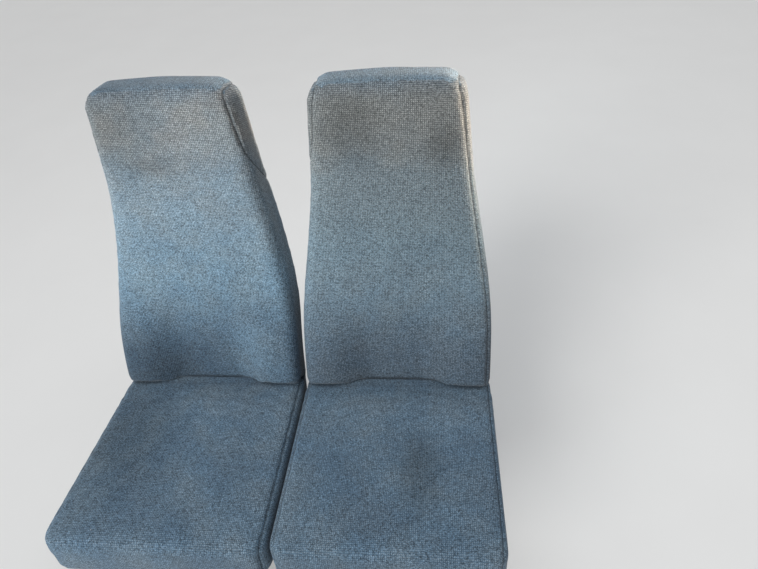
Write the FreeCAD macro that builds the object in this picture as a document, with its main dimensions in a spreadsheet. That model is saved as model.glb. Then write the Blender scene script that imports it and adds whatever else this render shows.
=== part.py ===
import FreeCAD, Part
import math
import os

import Sketcher
from FreeCAD import Placement, Rotation, Vector

# A double passenger seat from a minibus: two high-back seats side by side on one steel frame
# with two floor legs. Millimetres and degrees. X runs across the seats, Y from the knees to the
# backs, Z up. The origin is on the floor, at the middle of the four floor bolts.
# The junction is the line where the front of the backs meets the top of the cushions.

SIZES = [
    ("side_gap", 8, "gap between the two cushions"),
    ("junction_back", 95, "junction behind the middle of the legs"),
    ("junction_height", 412, "junction above the floor"),
    ("tilt", 7.4, "cushion, front edge up, degrees"),
    ("recline", 18.3, "backrest from upright, degrees"),
    ("seat_gap", 0.6, "running gap between a soft piece and its neighbour"),
    ("cushion_width", 438, "one cushion"),
    ("cushion_reach", 416, "junction to the cushion's front face"),
    ("cushion_thick", 95, "cushion foam and cover"),
    ("cushion_edge", 20, "round along the cushion's top edge"),
    ("cushion_corner", 34, "front corners of the cushion, in plan"),
    ("cushion_tuck", 30, "cushion running on under the backrest"),
    ("back_inset", 5, "side of the backrest in from the side of the cushion"),
    ("back_height", 689, "junction to the crown of the backrest"),
    ("back_straight", 120, "height at which the sides start to draw in"),
    ("shoulder_rise", 140, "height of the curve that starts the shoulders"),
    ("shoulder_run", 180, "height of the straight shoulders"),
    ("shoulder_lean", 9.3, "lean of the straight shoulders, degrees"),
    ("nape_rise", 80, "height of the curve from the shoulders to the headrest"),
    ("head_lean", 5.3, "lean of the headrest's sides, degrees"),
    ("head_corner", 46, "top corners of the headrest"),
    ("crown_half", 110, "half the width of the crowned top"),
    ("crown_rise", 4, "crown of the top edge"),
    ("back_thick", 80, "backrest, front to rear"),
    ("bolster_proud", 12, "backrest standing forward over the cushion"),
    ("bolster_round", 14, "height of the slope under the bolsters"),
    ("lumbar_rise", 175, "height of the curve over the hips, from the recline to the far lean"),
    ("far_lean", 34, "backrest at the waist, from upright, degrees"),
    ("scoop_rise", 317, "height of the hollow curve, from the far lean to the headrest"),
    ("head_tilt", 6.5, "headrest from upright, degrees"),
    ("skirt_clear", 3, "lower end of the backrest above the plates' hooks"),
    ("back_bevel", 14, "bevel along the backrest's front edge"),
    ("back_bevel_soft", 5, "second bevel, where the first meets the front"),
    ("back_bevel_rear", 7, "bevel along the backrest's rear edge"),
    ("dish_depth", 24, "hollow between the bolsters, behind the junction"),
    ("dish_half", 84, "half the width of the hollow's floor"),
    ("dish_ramp", 46, "width of each sloping side of the hollow"),
    ("dish_top", 300, "height up to which the hollow is cut"),
    ("panel_thick", 5, "closing panel on the rear of the backrest"),
    ("panel_inset", 16, "closing panel in from the backrest's outline"),
    ("tube_side", 32, "square cross tubes"),
    ("tube_wall", 2, "wall of the cross tubes"),
    ("tube_past_plate", 19, "cross tubes running on past the outer back plates"),
    ("front_tube_set", 318, "front cross tube ahead of the junction"),
    ("rear_tube_set", 6, "rear cross tube ahead of the junction"),
    ("plug_head", 4, "head of a tube end plug"),
    ("plug_depth", 18, "stem of a tube end plug inside the tube"),
    ("pan_inset", 47, "side of the pan in from the side of the cushion"),
    ("pan_reach", 386, "junction to the pan's front lip"),
    ("pan_tail", 16, "pan behind the junction"),
    ("pan_sheet", 2, "sheet of the pan"),
    ("pan_lip", 18, "lips turned down at front and rear"),
    ("pan_hole", 84, "round lightening holes in the pan"),
    ("pan_hole_pitch", 150, "between the lightening holes"),
    ("saddle_wall", 4, "sheet of the saddle over each leg"),
    ("saddle_drop", 32, "height of the saddle's cheeks"),
    ("saddle_overrun", 14, "saddle past the cross tubes"),
    ("leg_inset", 146, "middle of a leg in from the ends of the cross tubes"),
    ("leg_width", 44, "leg, across the seat"),
    ("leg_wall", 3, "sheet of the leg"),
    ("leg_top", 196, "leg where it meets the saddle, front to rear"),
    ("leg_base", 230, "leg at the foot, front to rear"),
    ("leg_waist", 42, "how far each curved edge draws in"),
    ("leg_hole", 66, "lower hole through both cheeks of a leg"),
    ("leg_hole_high", 52, "upper hole through both cheeks of a leg"),
    ("leg_hole_rise", 92, "lower hole above the floor"),
    ("leg_hole_pitch", 98, "from the lower hole to the upper one"),
    ("bolt_edge", 30, "end of the foot plate past a bolt"),
    ("foot_width", 64, "foot plate"),
    ("foot_nose", 26, "rounded ends of the foot plate"),
    ("foot_plate", 6, "thickness of the foot plate"),
    ("rib_thick", 4, "upturned edges of the foot"),
    ("rib_height", 26, "top of the upturned edges above the floor"),
    ("rib_clear", 35, "between a bolt and the end of the upturned edges"),
    ("rib_slope", 30, "sloped end of an upturned edge"),
    ("bolt_spacing", 370, "floor bolts of one foot"),
    ("bolt_hole", 11, "floor bolt holes"),
    ("plate_thick", 8, "steel plates that carry the backrest"),
    ("plate_depth", 24, "front to rear of a back plate"),
    ("plate_off_pan", 4, "between a back plate and the pan's side"),
    ("plate_setback", 36, "plate behind the junction"),
    ("plate_rise", 120, "plate inside the backrest, above the junction"),
    ("plate_grip", 14, "steel around the rear cross tube"),
    ("plate_nose", 3.2, "end of a plate's hook below the tube's middle"),
    ("plate_play", 0.3, "clearance of a plate in its pocket"),
]


class Size:
    """A length or angle that carries its value and the sheet formula behind it."""

    def __init__(self, value, formula):
        self.value = value
        self.formula = formula

    @staticmethod
    def of(other):
        return other if isinstance(other, Size) else Size(other, repr(other))

    def join(self, other, sign, value):
        return Size(value, f"({self.formula} {sign} {Size.of(other).formula})")

    def __add__(self, other):
        return self.join(other, "+", self.value + Size.of(other).value)

    def __sub__(self, other):
        return self.join(other, "-", self.value - Size.of(other).value)

    def __mul__(self, other):
        return self.join(other, "*", self.value * Size.of(other).value)

    def __truediv__(self, other):
        return self.join(other, "/", self.value / Size.of(other).value)

    def __neg__(self):
        return self * -1

    def tan(self):
        return Size(math.tan(math.radians(self.value)), f"tan({self.formula})")

    def cos(self):
        return Size(math.cos(math.radians(self.value)), f"cos({self.formula})")


doc = FreeCAD.newDocument("DoubleSeat")
sheet = doc.addObject("Spreadsheet::Sheet", "Sizes")
for row, (alias, value, note) in enumerate(SIZES, start=1):
    sheet.set(f"A{row}", note)
    sheet.set(f"B{row}", str(value))
    sheet.setAlias(f"B{row}", alias)
doc.recompute()
S = {alias: Size(float(sheet.get(alias)), f"Sizes.{alias}") for alias, _, _ in SIZES}
ZERO = Size(0.0, "0")


def v(name):
    """The plain value of a size."""
    return S[name].value


# Frames: the cushions, pans and cross tubes lie in the tilted frame, the backs in the reclined one
ACROSS = Vector(1, 0, 0)
JUNCTION = Vector(0, v("junction_back"), v("junction_height"))
TILTED = Rotation(ACROSS, -v("tilt"))
RECLINED = Rotation(ACROSS, -v("recline"))
UPRIGHT = Rotation()
seat_middle = (S["cushion_width"] + S["side_gap"]) / 2
pan_half = S["cushion_width"] / 2 - S["pan_inset"]
plate_middle = pan_half + S["plate_off_pan"] + S["plate_thick"] / 2
tube_half = seat_middle + plate_middle + S["plate_thick"] / 2 + S["tube_past_plate"]
SEATS = [("left", -seat_middle.value), ("right", seat_middle.value)]
SIDES = [("left", -1), ("right", 1)]
LEGS = [(side, sign * (tube_half - S["leg_inset"]).value) for side, sign in SIDES]
back_to_cushion = S["recline"] - S["tilt"]


def seat_place(x, turn):
    return Placement(Vector(x, 0, 0) + JUNCTION, turn)


def tube_drop():
    """Middle of the cross tubes below the junction, square to the cushion."""
    return S["cushion_thick"] + S["seat_gap"] + S["pan_sheet"] + S["tube_side"] / 2


def around_rear_tube(y, z):
    """A point beside the rear cross tube, y and z from its middle, in the reclined frame."""
    turn = Rotation(ACROSS, back_to_cushion.value)
    return turn.multVec(Vector(0, y - v("rear_tube_set"), z - tube_drop().value))


def hook_top():
    """Height of the back plates' hooks, in the reclined frame."""
    return around_rear_tube(v("tube_side") / 2 + v("plate_grip"), v("tube_side") / 2).z


def skirt_low():
    """Height of the backrest's lower end, below the junction in the reclined frame."""
    return hook_top() + v("skirt_clear")


# Sketch and body helpers
def new_body(label, place):
    body = doc.addObject("PartDesign::Body", label)
    body.Label = label
    body.Placement = place
    return body


def new_sketch(body, name, plane):
    sketch = body.newObject("Sketcher::SketchObject", name)
    roles = {feature.Role: feature for feature in body.Origin.OriginFeatures}
    sketch.AttachmentSupport = (roles[plane], [""])
    sketch.MapMode = "FlatFace"
    return sketch


def bind(sketch, constraint, size):
    """Adds a constraint whose value follows the sheet."""
    index = sketch.addConstraint(constraint)
    sketch.setExpression(f"Constraints[{index}]", size.formula)


def hold_point(sketch, line, end, x, y):
    """Keeps one end of a line at two sheet formulas, measured from the sketch's origin."""
    bind(sketch, Sketcher.Constraint("DistanceX", -1, 1, line, end, x.value), x)
    bind(sketch, Sketcher.Constraint("DistanceY", -1, 1, line, end, y.value), y)


def arc_radius(start, end, sag):
    """Radius of an arc from the span between its ends and its height over that span."""
    across, along = end[0] - start[0], end[1] - start[1]
    span_squared = across * across + along * along
    return (span_squared / 4 + sag * sag) / (sag * 2)


def outline(sketch, corners, sags=None):
    """A closed outline through corners. sags maps a corner's number to how far the edge that
    starts there bows to the right of its travel, as an arc."""
    sags = sags or {}
    first = sketch.GeometryCount
    count = len(corners)
    ends = []
    for i, corner in enumerate(corners):
        start = Vector(corner[0].value, corner[1].value, 0)
        after = corners[(i + 1) % count]
        end = Vector(after[0].value, after[1].value, 0)
        # an arc runs counter-clockwise in a sketch, so one that bows left is drawn from its end
        backwards = i in sags and sags[i].value < 0
        ends.append((2, 1) if backwards else (1, 2))
        if i in sags:
            travel = (end - start).normalize()
            right = Vector(travel.y, -travel.x, 0)
            top = (start + end) * 0.5 + right * sags[i].value
            edge = Part.Arc(end, top, start) if backwards else Part.Arc(start, top, end)
        else:
            edge = Part.LineSegment(start, end)
        sketch.addGeometry(edge, False)
    for i, corner in enumerate(corners):
        after = (i + 1) % count
        sketch.addConstraint(
            Sketcher.Constraint("Coincident", first + i, ends[i][1], first + after, ends[after][0])
        )
        hold_point(sketch, first + i, ends[i][0], corner[0], corner[1])
    for i, sag in sags.items():
        start, end = corners[i], corners[(i + 1) % count]
        size = arc_radius(start, end, sag)
        size = size if size.value > 0 else -size
        bind(sketch, Sketcher.Constraint("Radius", first + i, size.value), size)


def box_outline(left, right, low, high):
    return [(left, low), (right, low), (right, high), (left, high)]


def circle(sketch, x, y, radius):
    index = sketch.addGeometry(
        Part.Circle(Vector(x.value, y.value, 0), Vector(0, 0, 1), radius.value), False
    )
    hold_point(sketch, index, 3, x, y)
    bind(sketch, Sketcher.Constraint("Radius", index, radius.value), radius)


def pad(body, sketch, length, middle=False, down=False):
    feature = body.newObject("PartDesign::Pad", sketch.Name + "_pad")
    feature.Profile = sketch
    feature.Midplane = middle
    feature.Reversed = down
    feature.setExpression("Length", length.formula)
    sketch.Visibility = False
    doc.recompute()
    return feature


def pocket(body, sketch, middle=False, up=False):
    """Cuts a sketch right through, on both sides where middle is set."""
    before = body.Tip.Shape.Volume
    feature = body.newObject("PartDesign::Pocket", sketch.Name + "_pocket")
    feature.Profile = sketch
    feature.Type = "ThroughAll"
    feature.Midplane = middle
    feature.Reversed = up
    doc.recompute()
    if not feature.Shape.Volume < before:
        raise RuntimeError(f"{feature.Name} cuts nothing")
    return feature


def round_edges(body, name, radius, wanted):
    """Fillets the edges of the body's last feature for which wanted(edge) is true."""
    base = body.Tip
    names = [f"Edge{i}" for i, edge in enumerate(base.Shape.Edges, start=1) if wanted(edge)]
    if not names:
        raise RuntimeError(f"{name} finds no edge")
    feature = body.newObject("PartDesign::Fillet", name)
    feature.Base = (base, names)
    feature.setExpression("Radius", radius.formula)
    doc.recompute()
    return feature


def runs_along(edge, axis):
    """True where an edge is straight and lies along the axis."""
    if len(edge.Vertexes) != 2 or edge.Curve.TypeId != "Part::GeomLine":
        return False
    travel = edge.Vertexes[1].Point - edge.Vertexes[0].Point
    return travel.cross(axis).Length < 1e-6 * travel.Length


# Seat cushions: foam on a pan, boxed in fabric, with the rear face cut to the lean of the back
def seat_cushion(side, x):
    body = new_body(f"seat_cushion_{side}", seat_place(x, TILTED))
    plan = new_sketch(body, f"cushion_plan_{side}", "XY_Plane")
    half = S["cushion_width"] / 2
    tail = S["cushion_tuck"] / back_to_cushion.cos()
    outline(plan, box_outline(-half, half, -S["cushion_reach"], tail))
    pad(body, plan, S["cushion_thick"], down=True)
    wedge = new_sketch(body, f"cushion_rear_{side}", "YZ_Plane")
    slope = S["cushion_thick"] * back_to_cushion.tan()
    outline(wedge, [(tail, ZERO), (tail - slope, -S["cushion_thick"]), (tail, -S["cushion_thick"])])
    pocket(body, wedge, middle=True)
    up = Vector(0, 0, 1)
    front = -v("cushion_reach") / 2
    round_edges(
        body,
        f"cushion_corners_{side}",
        S["cushion_corner"],
        lambda edge: runs_along(edge, up) and edge.CenterOfMass.y < front,
    )
    rear = tail.value
    round_edges(
        body,
        f"cushion_top_{side}",
        S["cushion_edge"],
        lambda edge: abs(edge.BoundBox.ZMin) < 1e-6
        and abs(edge.BoundBox.ZMax) < 1e-6
        and edge.CenterOfMass.y < rear - 1,
    )
    return body


# Backrests: a curved slab seen from the side, cut to the bottle outline seen from the front
def curve(start, rise, lean_from, lean_to, outwards=0.0):
    """The middle and end of an arc that climbs by rise from start while its lean changes.
    Points are (offset, height), and a lean above zero moves the offset up. outwards is how far
    the arc runs beside the one that is described."""
    first, last = math.radians(lean_from), math.radians(lean_to)
    radius = rise / (math.sin(last) - math.sin(first))
    centre = (start[0] + radius * math.cos(first), start[1] - radius * math.sin(first))
    found = []
    for angle in ((first + last) / 2, last):
        reach = radius - outwards
        found.append((centre[0] - reach * math.cos(angle), centre[1] + reach * math.sin(angle)))
    return found


def side_points(inset):
    """Half of the backrest's front outline, as (half width, height) from the skirt to the crown."""
    half = v("cushion_width") / 2 - v("back_inset") - inset
    lean, head = v("shoulder_lean"), v("head_lean")
    rise = v("crown_rise")
    crown_lean = 90 - 2 * math.degrees(math.atan(rise / v("crown_half")))
    knee = (-half, v("back_straight"))
    shoulder_mid, shoulder = curve(knee, v("shoulder_rise"), 0, lean)
    run = v("shoulder_run")
    waist = (shoulder[0] + run * math.tan(math.radians(lean)), shoulder[1] + run)
    nape_mid, nape = curve(waist, v("nape_rise"), lean, head)
    corner = v("head_corner") - inset
    turn = math.sin(math.radians(crown_lean)) - math.sin(math.radians(head))
    top = v("back_height") - inset
    temple_height = top - rise - corner * turn
    temple = (nape[0] + (temple_height - nape[1]) * math.tan(math.radians(head)), temple_height)
    brow_mid, brow = curve(temple, corner * turn, head, crown_lean)
    return [knee, shoulder_mid, shoulder, waist, nape_mid, nape, temple, brow_mid, brow, (0.0, top)]


def outline_face(inset, low, y):
    """The backrest's front outline as a face at depth y, reaching down to low."""
    edges = []
    for sign in (-1, 1):
        points = [Vector(-sign * offset, y, height) for offset, height in side_points(inset)]
        knee, shoulder_mid, shoulder, waist, nape_mid, nape, temple, brow_mid, brow, crown = points
        foot_point = Vector(knee.x, y, low)
        edges += [
            Part.LineSegment(foot_point, knee).toShape(),
            Part.Arc(knee, shoulder_mid, shoulder).toShape(),
            Part.LineSegment(shoulder, waist).toShape(),
            Part.Arc(waist, nape_mid, nape).toShape(),
            Part.LineSegment(nape, temple).toShape(),
            Part.Arc(temple, brow_mid, brow).toShape(),
        ]
    edges.append(Part.Arc(brow, crown, Vector(-brow.x, y, brow.z)).toShape())
    edges.append(Part.LineSegment(foot_point, Vector(-foot_point.x, y, low)).toShape())
    return Part.Face(Part.Wire(Part.__sortEdges__(edges)))


def head_square():
    """How far the headrest leans forward of the backrest's own frame, in degrees."""
    return v("recline") - v("head_tilt")


def outline_prism(inset, low):
    """The front outline extruded square to the headrest, through the whole backrest."""
    reach = v("back_thick") * 3
    tilt = math.radians(head_square())
    ahead = -v("back_thick")
    face = outline_face(inset, low - reach * math.sin(tilt), 0.0)
    face.translate(Vector(0, ahead * math.cos(tilt), ahead * math.sin(tilt)))
    return face.extrude(Vector(0, reach * math.cos(tilt), reach * math.sin(tilt)))


def spine(behind, low):
    """The backrest's curve in its side view, from low to above the crown, as edges and their
    two end points. behind is the distance of the curve from the backrest's front."""
    front = (-v("bolster_proud"), 0.0)
    far = v("far_lean") - v("recline")
    head = -head_square()
    start = (front[0] + behind, 0.0)
    hips_mid, hips = curve(front, v("lumbar_rise"), 0, far, behind)
    hips_front = curve(front, v("lumbar_rise"), 0, far)[1]
    scoop_mid, scoop = curve(hips_front, v("scoop_rise"), far, head, behind)
    over = v("back_height") + v("back_thick")
    top = (scoop[0] + (over - scoop[1]) * math.tan(math.radians(head)), over)
    low_end, start, hips_mid, hips, scoop_mid, scoop, top = [
        Vector(0, depth, height)
        for depth, height in ((start[0], low), start, hips_mid, hips, scoop_mid, scoop, top)
    ]
    edges = [
        Part.LineSegment(low_end, start).toShape(),
        Part.Arc(start, hips_mid, hips).toShape(),
        Part.Arc(hips, scoop_mid, scoop).toShape(),
        Part.LineSegment(scoop, top).toShape(),
    ]
    return edges, low_end, top


def slab(front, rear, low):
    """The space between two curves of the backrest, wider than the backrest."""
    front_edges, front_low, front_top = spine(front, low)
    rear_edges, rear_low, rear_top = spine(rear, low)
    caps = [
        Part.LineSegment(front_low, rear_low).toShape(),
        Part.LineSegment(front_top, rear_top).toShape(),
    ]
    face = Part.Face(Part.Wire(Part.__sortEdges__(front_edges + rear_edges + caps)))
    face.translate(Vector(-v("cushion_width"), 0, 0))
    return face.extrude(Vector(2 * v("cushion_width"), 0, 0))


def across(corners, half):
    """A prism across the seat, from corners given as (depth, height)."""
    points = [Vector(-half, depth, height) for depth, height in corners]
    return Part.Face(Part.makePolygon(points + points[:1])).extrude(Vector(2 * half, 0, 0))


def cushion_space():
    """What the cushion takes out of the backrest: the space over and behind its rear edge."""
    gap, proud = v("seat_gap"), v("bolster_proud")
    notch = v("cushion_tuck") + gap
    slope = math.tan(math.radians(back_to_cushion.value))
    low = skirt_low() - proud
    corners = [
        (-2 * proud, low),
        (notch, low),
        (notch, gap + notch * slope),
        (0, gap),
        (-proud, gap + v("bolster_round")),
        (-2 * proud, gap + v("bolster_round")),
    ]
    return across(corners, v("cushion_width"))


def dish():
    """The cutter for the hollow between the bolsters, a trapezoid in plan."""
    floor, deep, proud = v("dish_half"), v("dish_depth"), 2 * v("bolster_proud")
    brim = floor + v("dish_ramp") * (deep + proud) / (deep + v("bolster_proud"))
    corners = [(-brim, -proud), (brim, -proud), (floor, deep), (-floor, deep)]
    points = [Vector(x, y, -1) for x, y in corners]
    return Part.Face(Part.makePolygon(points + points[:1])).extrude(Vector(0, 0, v("dish_top")))


def plate_pockets():
    """Pockets in the backrest for the two plates that carry it."""
    play = v("plate_play")
    wide, deep = v("plate_thick") + 2 * play, v("plate_depth") + 2 * play
    low = skirt_low() - 1
    tall = v("plate_rise") + play - low
    return [
        Part.makeBox(wide, deep, tall, Vector(x - wide / 2, v("plate_setback") - play, low))
        for x in (-plate_middle.value, plate_middle.value)
    ]


def long_edges(shape, behind):
    """The edges where the backrest's walls meet one of its two curves."""
    line = Part.Wire(spine(behind, skirt_low())[0])
    found = []
    for edge in shape.Edges:
        middle = edge.valueAt((edge.FirstParameter + edge.LastParameter) / 2)
        on_curve = line.distToShape(Part.Vertex(Vector(0, middle.y, middle.z)))[0] < 1e-3
        if on_curve and not runs_along(edge, ACROSS):
            found.append(edge)
    return found


def backrest_shape():
    low = skirt_low()
    thick = v("back_thick")
    body = slab(0, thick, low).common(outline_prism(0, low)).cut(cushion_space())
    for bevel in ("back_bevel", "back_bevel_soft"):
        body = body.makeChamfer(v(bevel), long_edges(body, 0))
    body = body.makeChamfer(v("back_bevel_rear"), long_edges(body, thick))
    return body.cut(dish()).cut(Part.makeCompound(plate_pockets()))


def backrest(side, x):
    feature = doc.addObject("Part::Feature", f"seat_back_{side}")
    feature.Label = f"seat_back_{side}"
    feature.Shape = backrest_shape()
    feature.Placement = seat_place(x, RECLINED)
    return feature


# Cross tubes: two square tubes under the pans, the full width of the pair of seats
def cross_tube(name, ahead):
    body = new_body(name, seat_place(0, TILTED))
    section = new_sketch(body, f"{name}_section", "YZ_Plane")
    for side in (S["tube_side"] / 2, S["tube_side"] / 2 - S["tube_wall"]):
        middle = -tube_drop()
        outline(section, box_outline(-ahead - side, -ahead + side, middle - side, middle + side))
    pad(body, section, tube_half * 2, middle=True)
    return body


def tube_plugs():
    """Plastic plugs in the four open ends, each a square head on a square stem."""
    plugs = []
    half_length = tube_half.value
    for ahead in ("front_tube_set", "rear_tube_set"):
        for sign in (-1, 1):
            pieces = []
            stem = S["tube_side"] - S["tube_wall"] * 2 - S["plate_play"] * 2
            rows = (("head", S["tube_side"], S["plug_head"]), ("stem", stem, S["plug_depth"]))
            for kind, side, length in rows:
                box = doc.addObject("Part::Box", f"plug_{kind}_{ahead}_{'lr'[sign > 0]}")
                box.setExpression("Length", length.formula)
                box.setExpression("Width", side.formula)
                box.setExpression("Height", side.formula)
                outward = kind == "head"
                near = half_length if outward else half_length - length.value
                start = near if sign > 0 else -near - length.value
                corner = Vector(start, -v(ahead) - side.value / 2, -tube_drop().value - side.value / 2)
                box.Placement = seat_place(0, TILTED).multiply(Placement(corner, UPRIGHT))
                pieces.append(box)
            plug = doc.addObject("Part::Fuse", f"plug_{ahead}_{'lr'[sign > 0]}")
            plug.Base, plug.Tool = pieces
            plugs.append(plug)
    group = doc.addObject("Part::Compound", "tube_plugs")
    group.Label = "tube_plugs"
    group.Links = plugs
    return group


# Cushion pans: pressed sheet, open at the sides, with lips front and rear and round holes
def cushion_pan(side, x):
    body = new_body(f"cushion_pan_{side}", seat_place(x, TILTED))
    section = new_sketch(body, f"pan_section_{side}", "YZ_Plane")
    top = -(S["cushion_thick"] + S["seat_gap"])
    under, lip = top - S["pan_sheet"], top - S["pan_lip"]
    front, rear = -S["pan_reach"], S["pan_tail"]
    outline(
        section,
        [
            (front, lip),
            (front + S["pan_sheet"], lip),
            (front + S["pan_sheet"], under),
            (rear - S["pan_sheet"], under),
            (rear - S["pan_sheet"], lip),
            (rear, lip),
            (rear, top),
            (front, top),
        ],
    )
    pad(body, section, pan_half * 2, middle=True)
    holes = new_sketch(body, f"pan_holes_{side}", "XY_Plane")
    middle = (rear - S["pan_reach"]) / 2
    pitch = S["pan_hole_pitch"] / 2
    for across in (-pitch, pitch):
        for along in (middle - pitch, middle + pitch):
            circle(holes, across, along, S["pan_hole"] / 2)
    pocket(body, holes)
    return body


# Back plates: two steel plates a seat, gripping the rear cross tube and running up into the back
def plate_shape():
    """A plate in the reclined frame: an upright bar, and a hook that grips the rear cross tube."""
    bar_front, bar_rear = v("plate_setback"), v("plate_setback") + v("plate_depth")
    bar_top = v("plate_rise")
    grip, nose = v("plate_grip"), v("plate_nose")
    half = v("tube_side") / 2
    corners = [
        (half + grip, half),
        (half + grip, -half - grip),
        (-half - grip, -half - grip),
        (-half - grip, -nose),
        (-half, -nose),
        (-half, -half),
        (half, -half),
        (half, half),
    ]
    hook = [around_rear_tube(y, z) for y, z in corners]
    bar_low = hook[1].z + grip
    points = [
        Vector(0, bar_front, bar_top),
        Vector(0, bar_front, hook_top()),
        hook[7],
        hook[6],
        hook[5],
        hook[4],
        hook[3],
        hook[2],
        hook[1],
        Vector(0, bar_rear, bar_low),
        Vector(0, bar_rear, bar_top),
    ]
    face = Part.Face(Part.makePolygon(points + points[:1]))
    face.translate(Vector(-v("plate_thick") / 2, 0, 0))
    return face.extrude(Vector(v("plate_thick"), 0, 0))


def back_plates(side, x):
    made = []
    for end, sign in SIDES:
        name = f"back_plate_{side}_{end}"
        feature = doc.addObject("Part::Feature", name)
        feature.Label = name
        feature.Shape = plate_shape()
        feature.Placement = seat_place(x + sign * plate_middle.value, RECLINED)
        made.append(feature)
    return made


# Closing panels: vinyl-covered board bent to the rear of each back
def closing_panel(side, x):
    thick, inset = v("back_thick"), v("panel_inset")
    low = skirt_low() + inset
    board = slab(thick, thick + v("panel_thick"), low)
    feature = doc.addObject("Part::Feature", f"back_panel_{side}")
    feature.Label = f"back_panel_{side}"
    feature.Shape = board.common(outline_prism(inset, low))
    feature.Placement = seat_place(x, RECLINED)
    return feature


# Saddles: inverted channels that carry both cross tubes and drop over the top of each leg
def saddle_under():
    """The saddle's top face below the junction, square to the cushion."""
    return tube_drop() + S["tube_side"] / 2


def saddle(side, x):
    body = new_body(f"saddle_{side}", seat_place(x, TILTED))
    section = new_sketch(body, f"saddle_section_{side}", "XZ_Plane")
    inner = S["leg_width"] / 2
    outer = inner + S["saddle_wall"]
    top = -saddle_under()
    under, low = top - S["saddle_wall"], top - S["saddle_drop"]
    outline(
        section,
        [
            (-outer, low),
            (-inner, low),
            (-inner, under),
            (inner, under),
            (inner, low),
            (outer, low),
            (outer, top),
            (-outer, top),
        ],
    )
    rear = S["saddle_overrun"] + S["tube_side"] / 2 - S["rear_tube_set"]
    length = S["front_tube_set"] + S["saddle_overrun"] + S["tube_side"] / 2 + rear
    pad(body, section, length)
    # the sketch's normal points forward, so the pad starts behind the rear cross tube
    section.setExpression("AttachmentOffset.Base.z", (-rear).formula)
    doc.recompute()
    return body


# Legs: waisted box-section pedestals, open at top and bottom where the saddle and foot close them,
# with two round holes through their cheeks
def leg(side, x):
    body = new_body(f"leg_{side}", Placement(Vector(x, 0, 0), UPRIGHT))
    foot = S["foot_plate"]
    # height of the saddle's underside where it passes over the leg
    drop = saddle_under() + S["saddle_wall"]
    over_leg = S["junction_height"] - drop / S["tilt"].cos() + S["junction_back"] * S["tilt"].tan()
    half_top, half_base = S["leg_top"] / 2, S["leg_base"] / 2
    rise = half_top * S["tilt"].tan()
    profile = new_sketch(body, f"leg_profile_{side}", "YZ_Plane")
    outline(
        profile,
        [
            (-half_base, foot),
            (half_base, foot),
            (half_top, over_leg - rise),
            (-half_top, over_leg + rise),
        ],
        {1: -S["leg_waist"], 3: -S["leg_waist"]},
    )
    pad(body, profile, S["leg_width"], middle=True)
    wall, beyond = S["leg_wall"], S["saddle_drop"]
    hollow = new_sketch(body, f"leg_hollow_{side}", "YZ_Plane")
    outline(
        hollow,
        [
            (-half_base + wall, foot - beyond),
            (-half_base + wall, foot),
            (-half_top + wall, over_leg + rise),
            (-half_top + wall, over_leg + rise + beyond),
            (half_top - wall, over_leg + rise + beyond),
            (half_top - wall, over_leg - rise),
            (half_base - wall, foot),
            (half_base - wall, foot - beyond),
        ],
        {1: S["leg_waist"], 5: S["leg_waist"]},
    )
    core = body.newObject("PartDesign::Pocket", f"leg_core_{side}")
    core.Profile = hollow
    core.Midplane = True
    core.setExpression("Length", (S["leg_width"] - S["leg_wall"] * 2).formula)
    doc.recompute()
    holes = new_sketch(body, f"leg_holes_{side}", "YZ_Plane")
    circle(holes, ZERO, S["leg_hole_rise"], S["leg_hole"] / 2)
    circle(holes, ZERO, S["leg_hole_rise"] + S["leg_hole_pitch"], S["leg_hole_high"] / 2)
    pocket(body, holes, middle=True)
    return body


# Feet: flat plates with upturned edges, bolted to the floor at both ends
def foot(side, x):
    body = new_body(f"foot_{side}", Placement(Vector(x, 0, 0), UPRIGHT))
    half_width, half_length = S["foot_width"] / 2, S["bolt_spacing"] / 2 + S["bolt_edge"]
    plan = new_sketch(body, f"foot_plan_{side}", "XY_Plane")
    straight = half_length - S["foot_nose"]
    outline(
        plan,
        box_outline(-half_width, half_width, -straight, straight),
        {0: S["foot_nose"], 2: S["foot_nose"]},
    )
    for along in (-S["bolt_spacing"] / 2, S["bolt_spacing"] / 2):
        circle(plan, ZERO, along, S["bolt_hole"] / 2)
    pad(body, plan, S["foot_plate"])
    edges = new_sketch(body, f"foot_edges_{side}", "YZ_Plane")
    low = S["bolt_spacing"] / 2 - S["rib_clear"]
    crest = low - S["rib_slope"]
    outline(
        edges,
        [
            (-low, S["foot_plate"] / 2),
            (low, S["foot_plate"] / 2),
            (low, S["foot_plate"]),
            (crest, S["rib_height"]),
            (-crest, S["rib_height"]),
            (-low, S["foot_plate"]),
        ],
    )
    pad(body, edges, S["foot_width"], middle=True)
    trough = new_sketch(body, f"foot_trough_{side}", "XZ_Plane")
    inner = half_width - S["rib_thick"]
    high = S["rib_height"] * 2
    outline(trough, box_outline(-inner, inner, S["foot_plate"], high))
    pocket(body, trough, middle=True)
    return body


nodes = []
for side, x in SEATS:
    nodes.append(seat_cushion(side, x))
    nodes.append(backrest(side, x))
    nodes.append(closing_panel(side, x))
    nodes.append(cushion_pan(side, x))
    nodes += back_plates(side, x)
nodes.append(cross_tube("front_cross_tube", S["front_tube_set"]))
nodes.append(cross_tube("rear_cross_tube", S["rear_tube_set"]))
nodes.append(tube_plugs())
for side, x in LEGS:
    nodes.append(saddle(side, x))
    nodes.append(leg(side, x))
    nodes.append(foot(side, x))

doc.recompute()
for item in doc.Objects:
    faults = [state for state in item.State if state in ("Invalid", "Error")]
    if faults:
        raise RuntimeError(f"{item.Name} failed: {faults}")
for node in nodes:
    if node.Shape.isNull() or not node.Shape.isValid() or not node.Shape.Solids:
        raise RuntimeError(f"{node.Label} has no valid solid")

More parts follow.
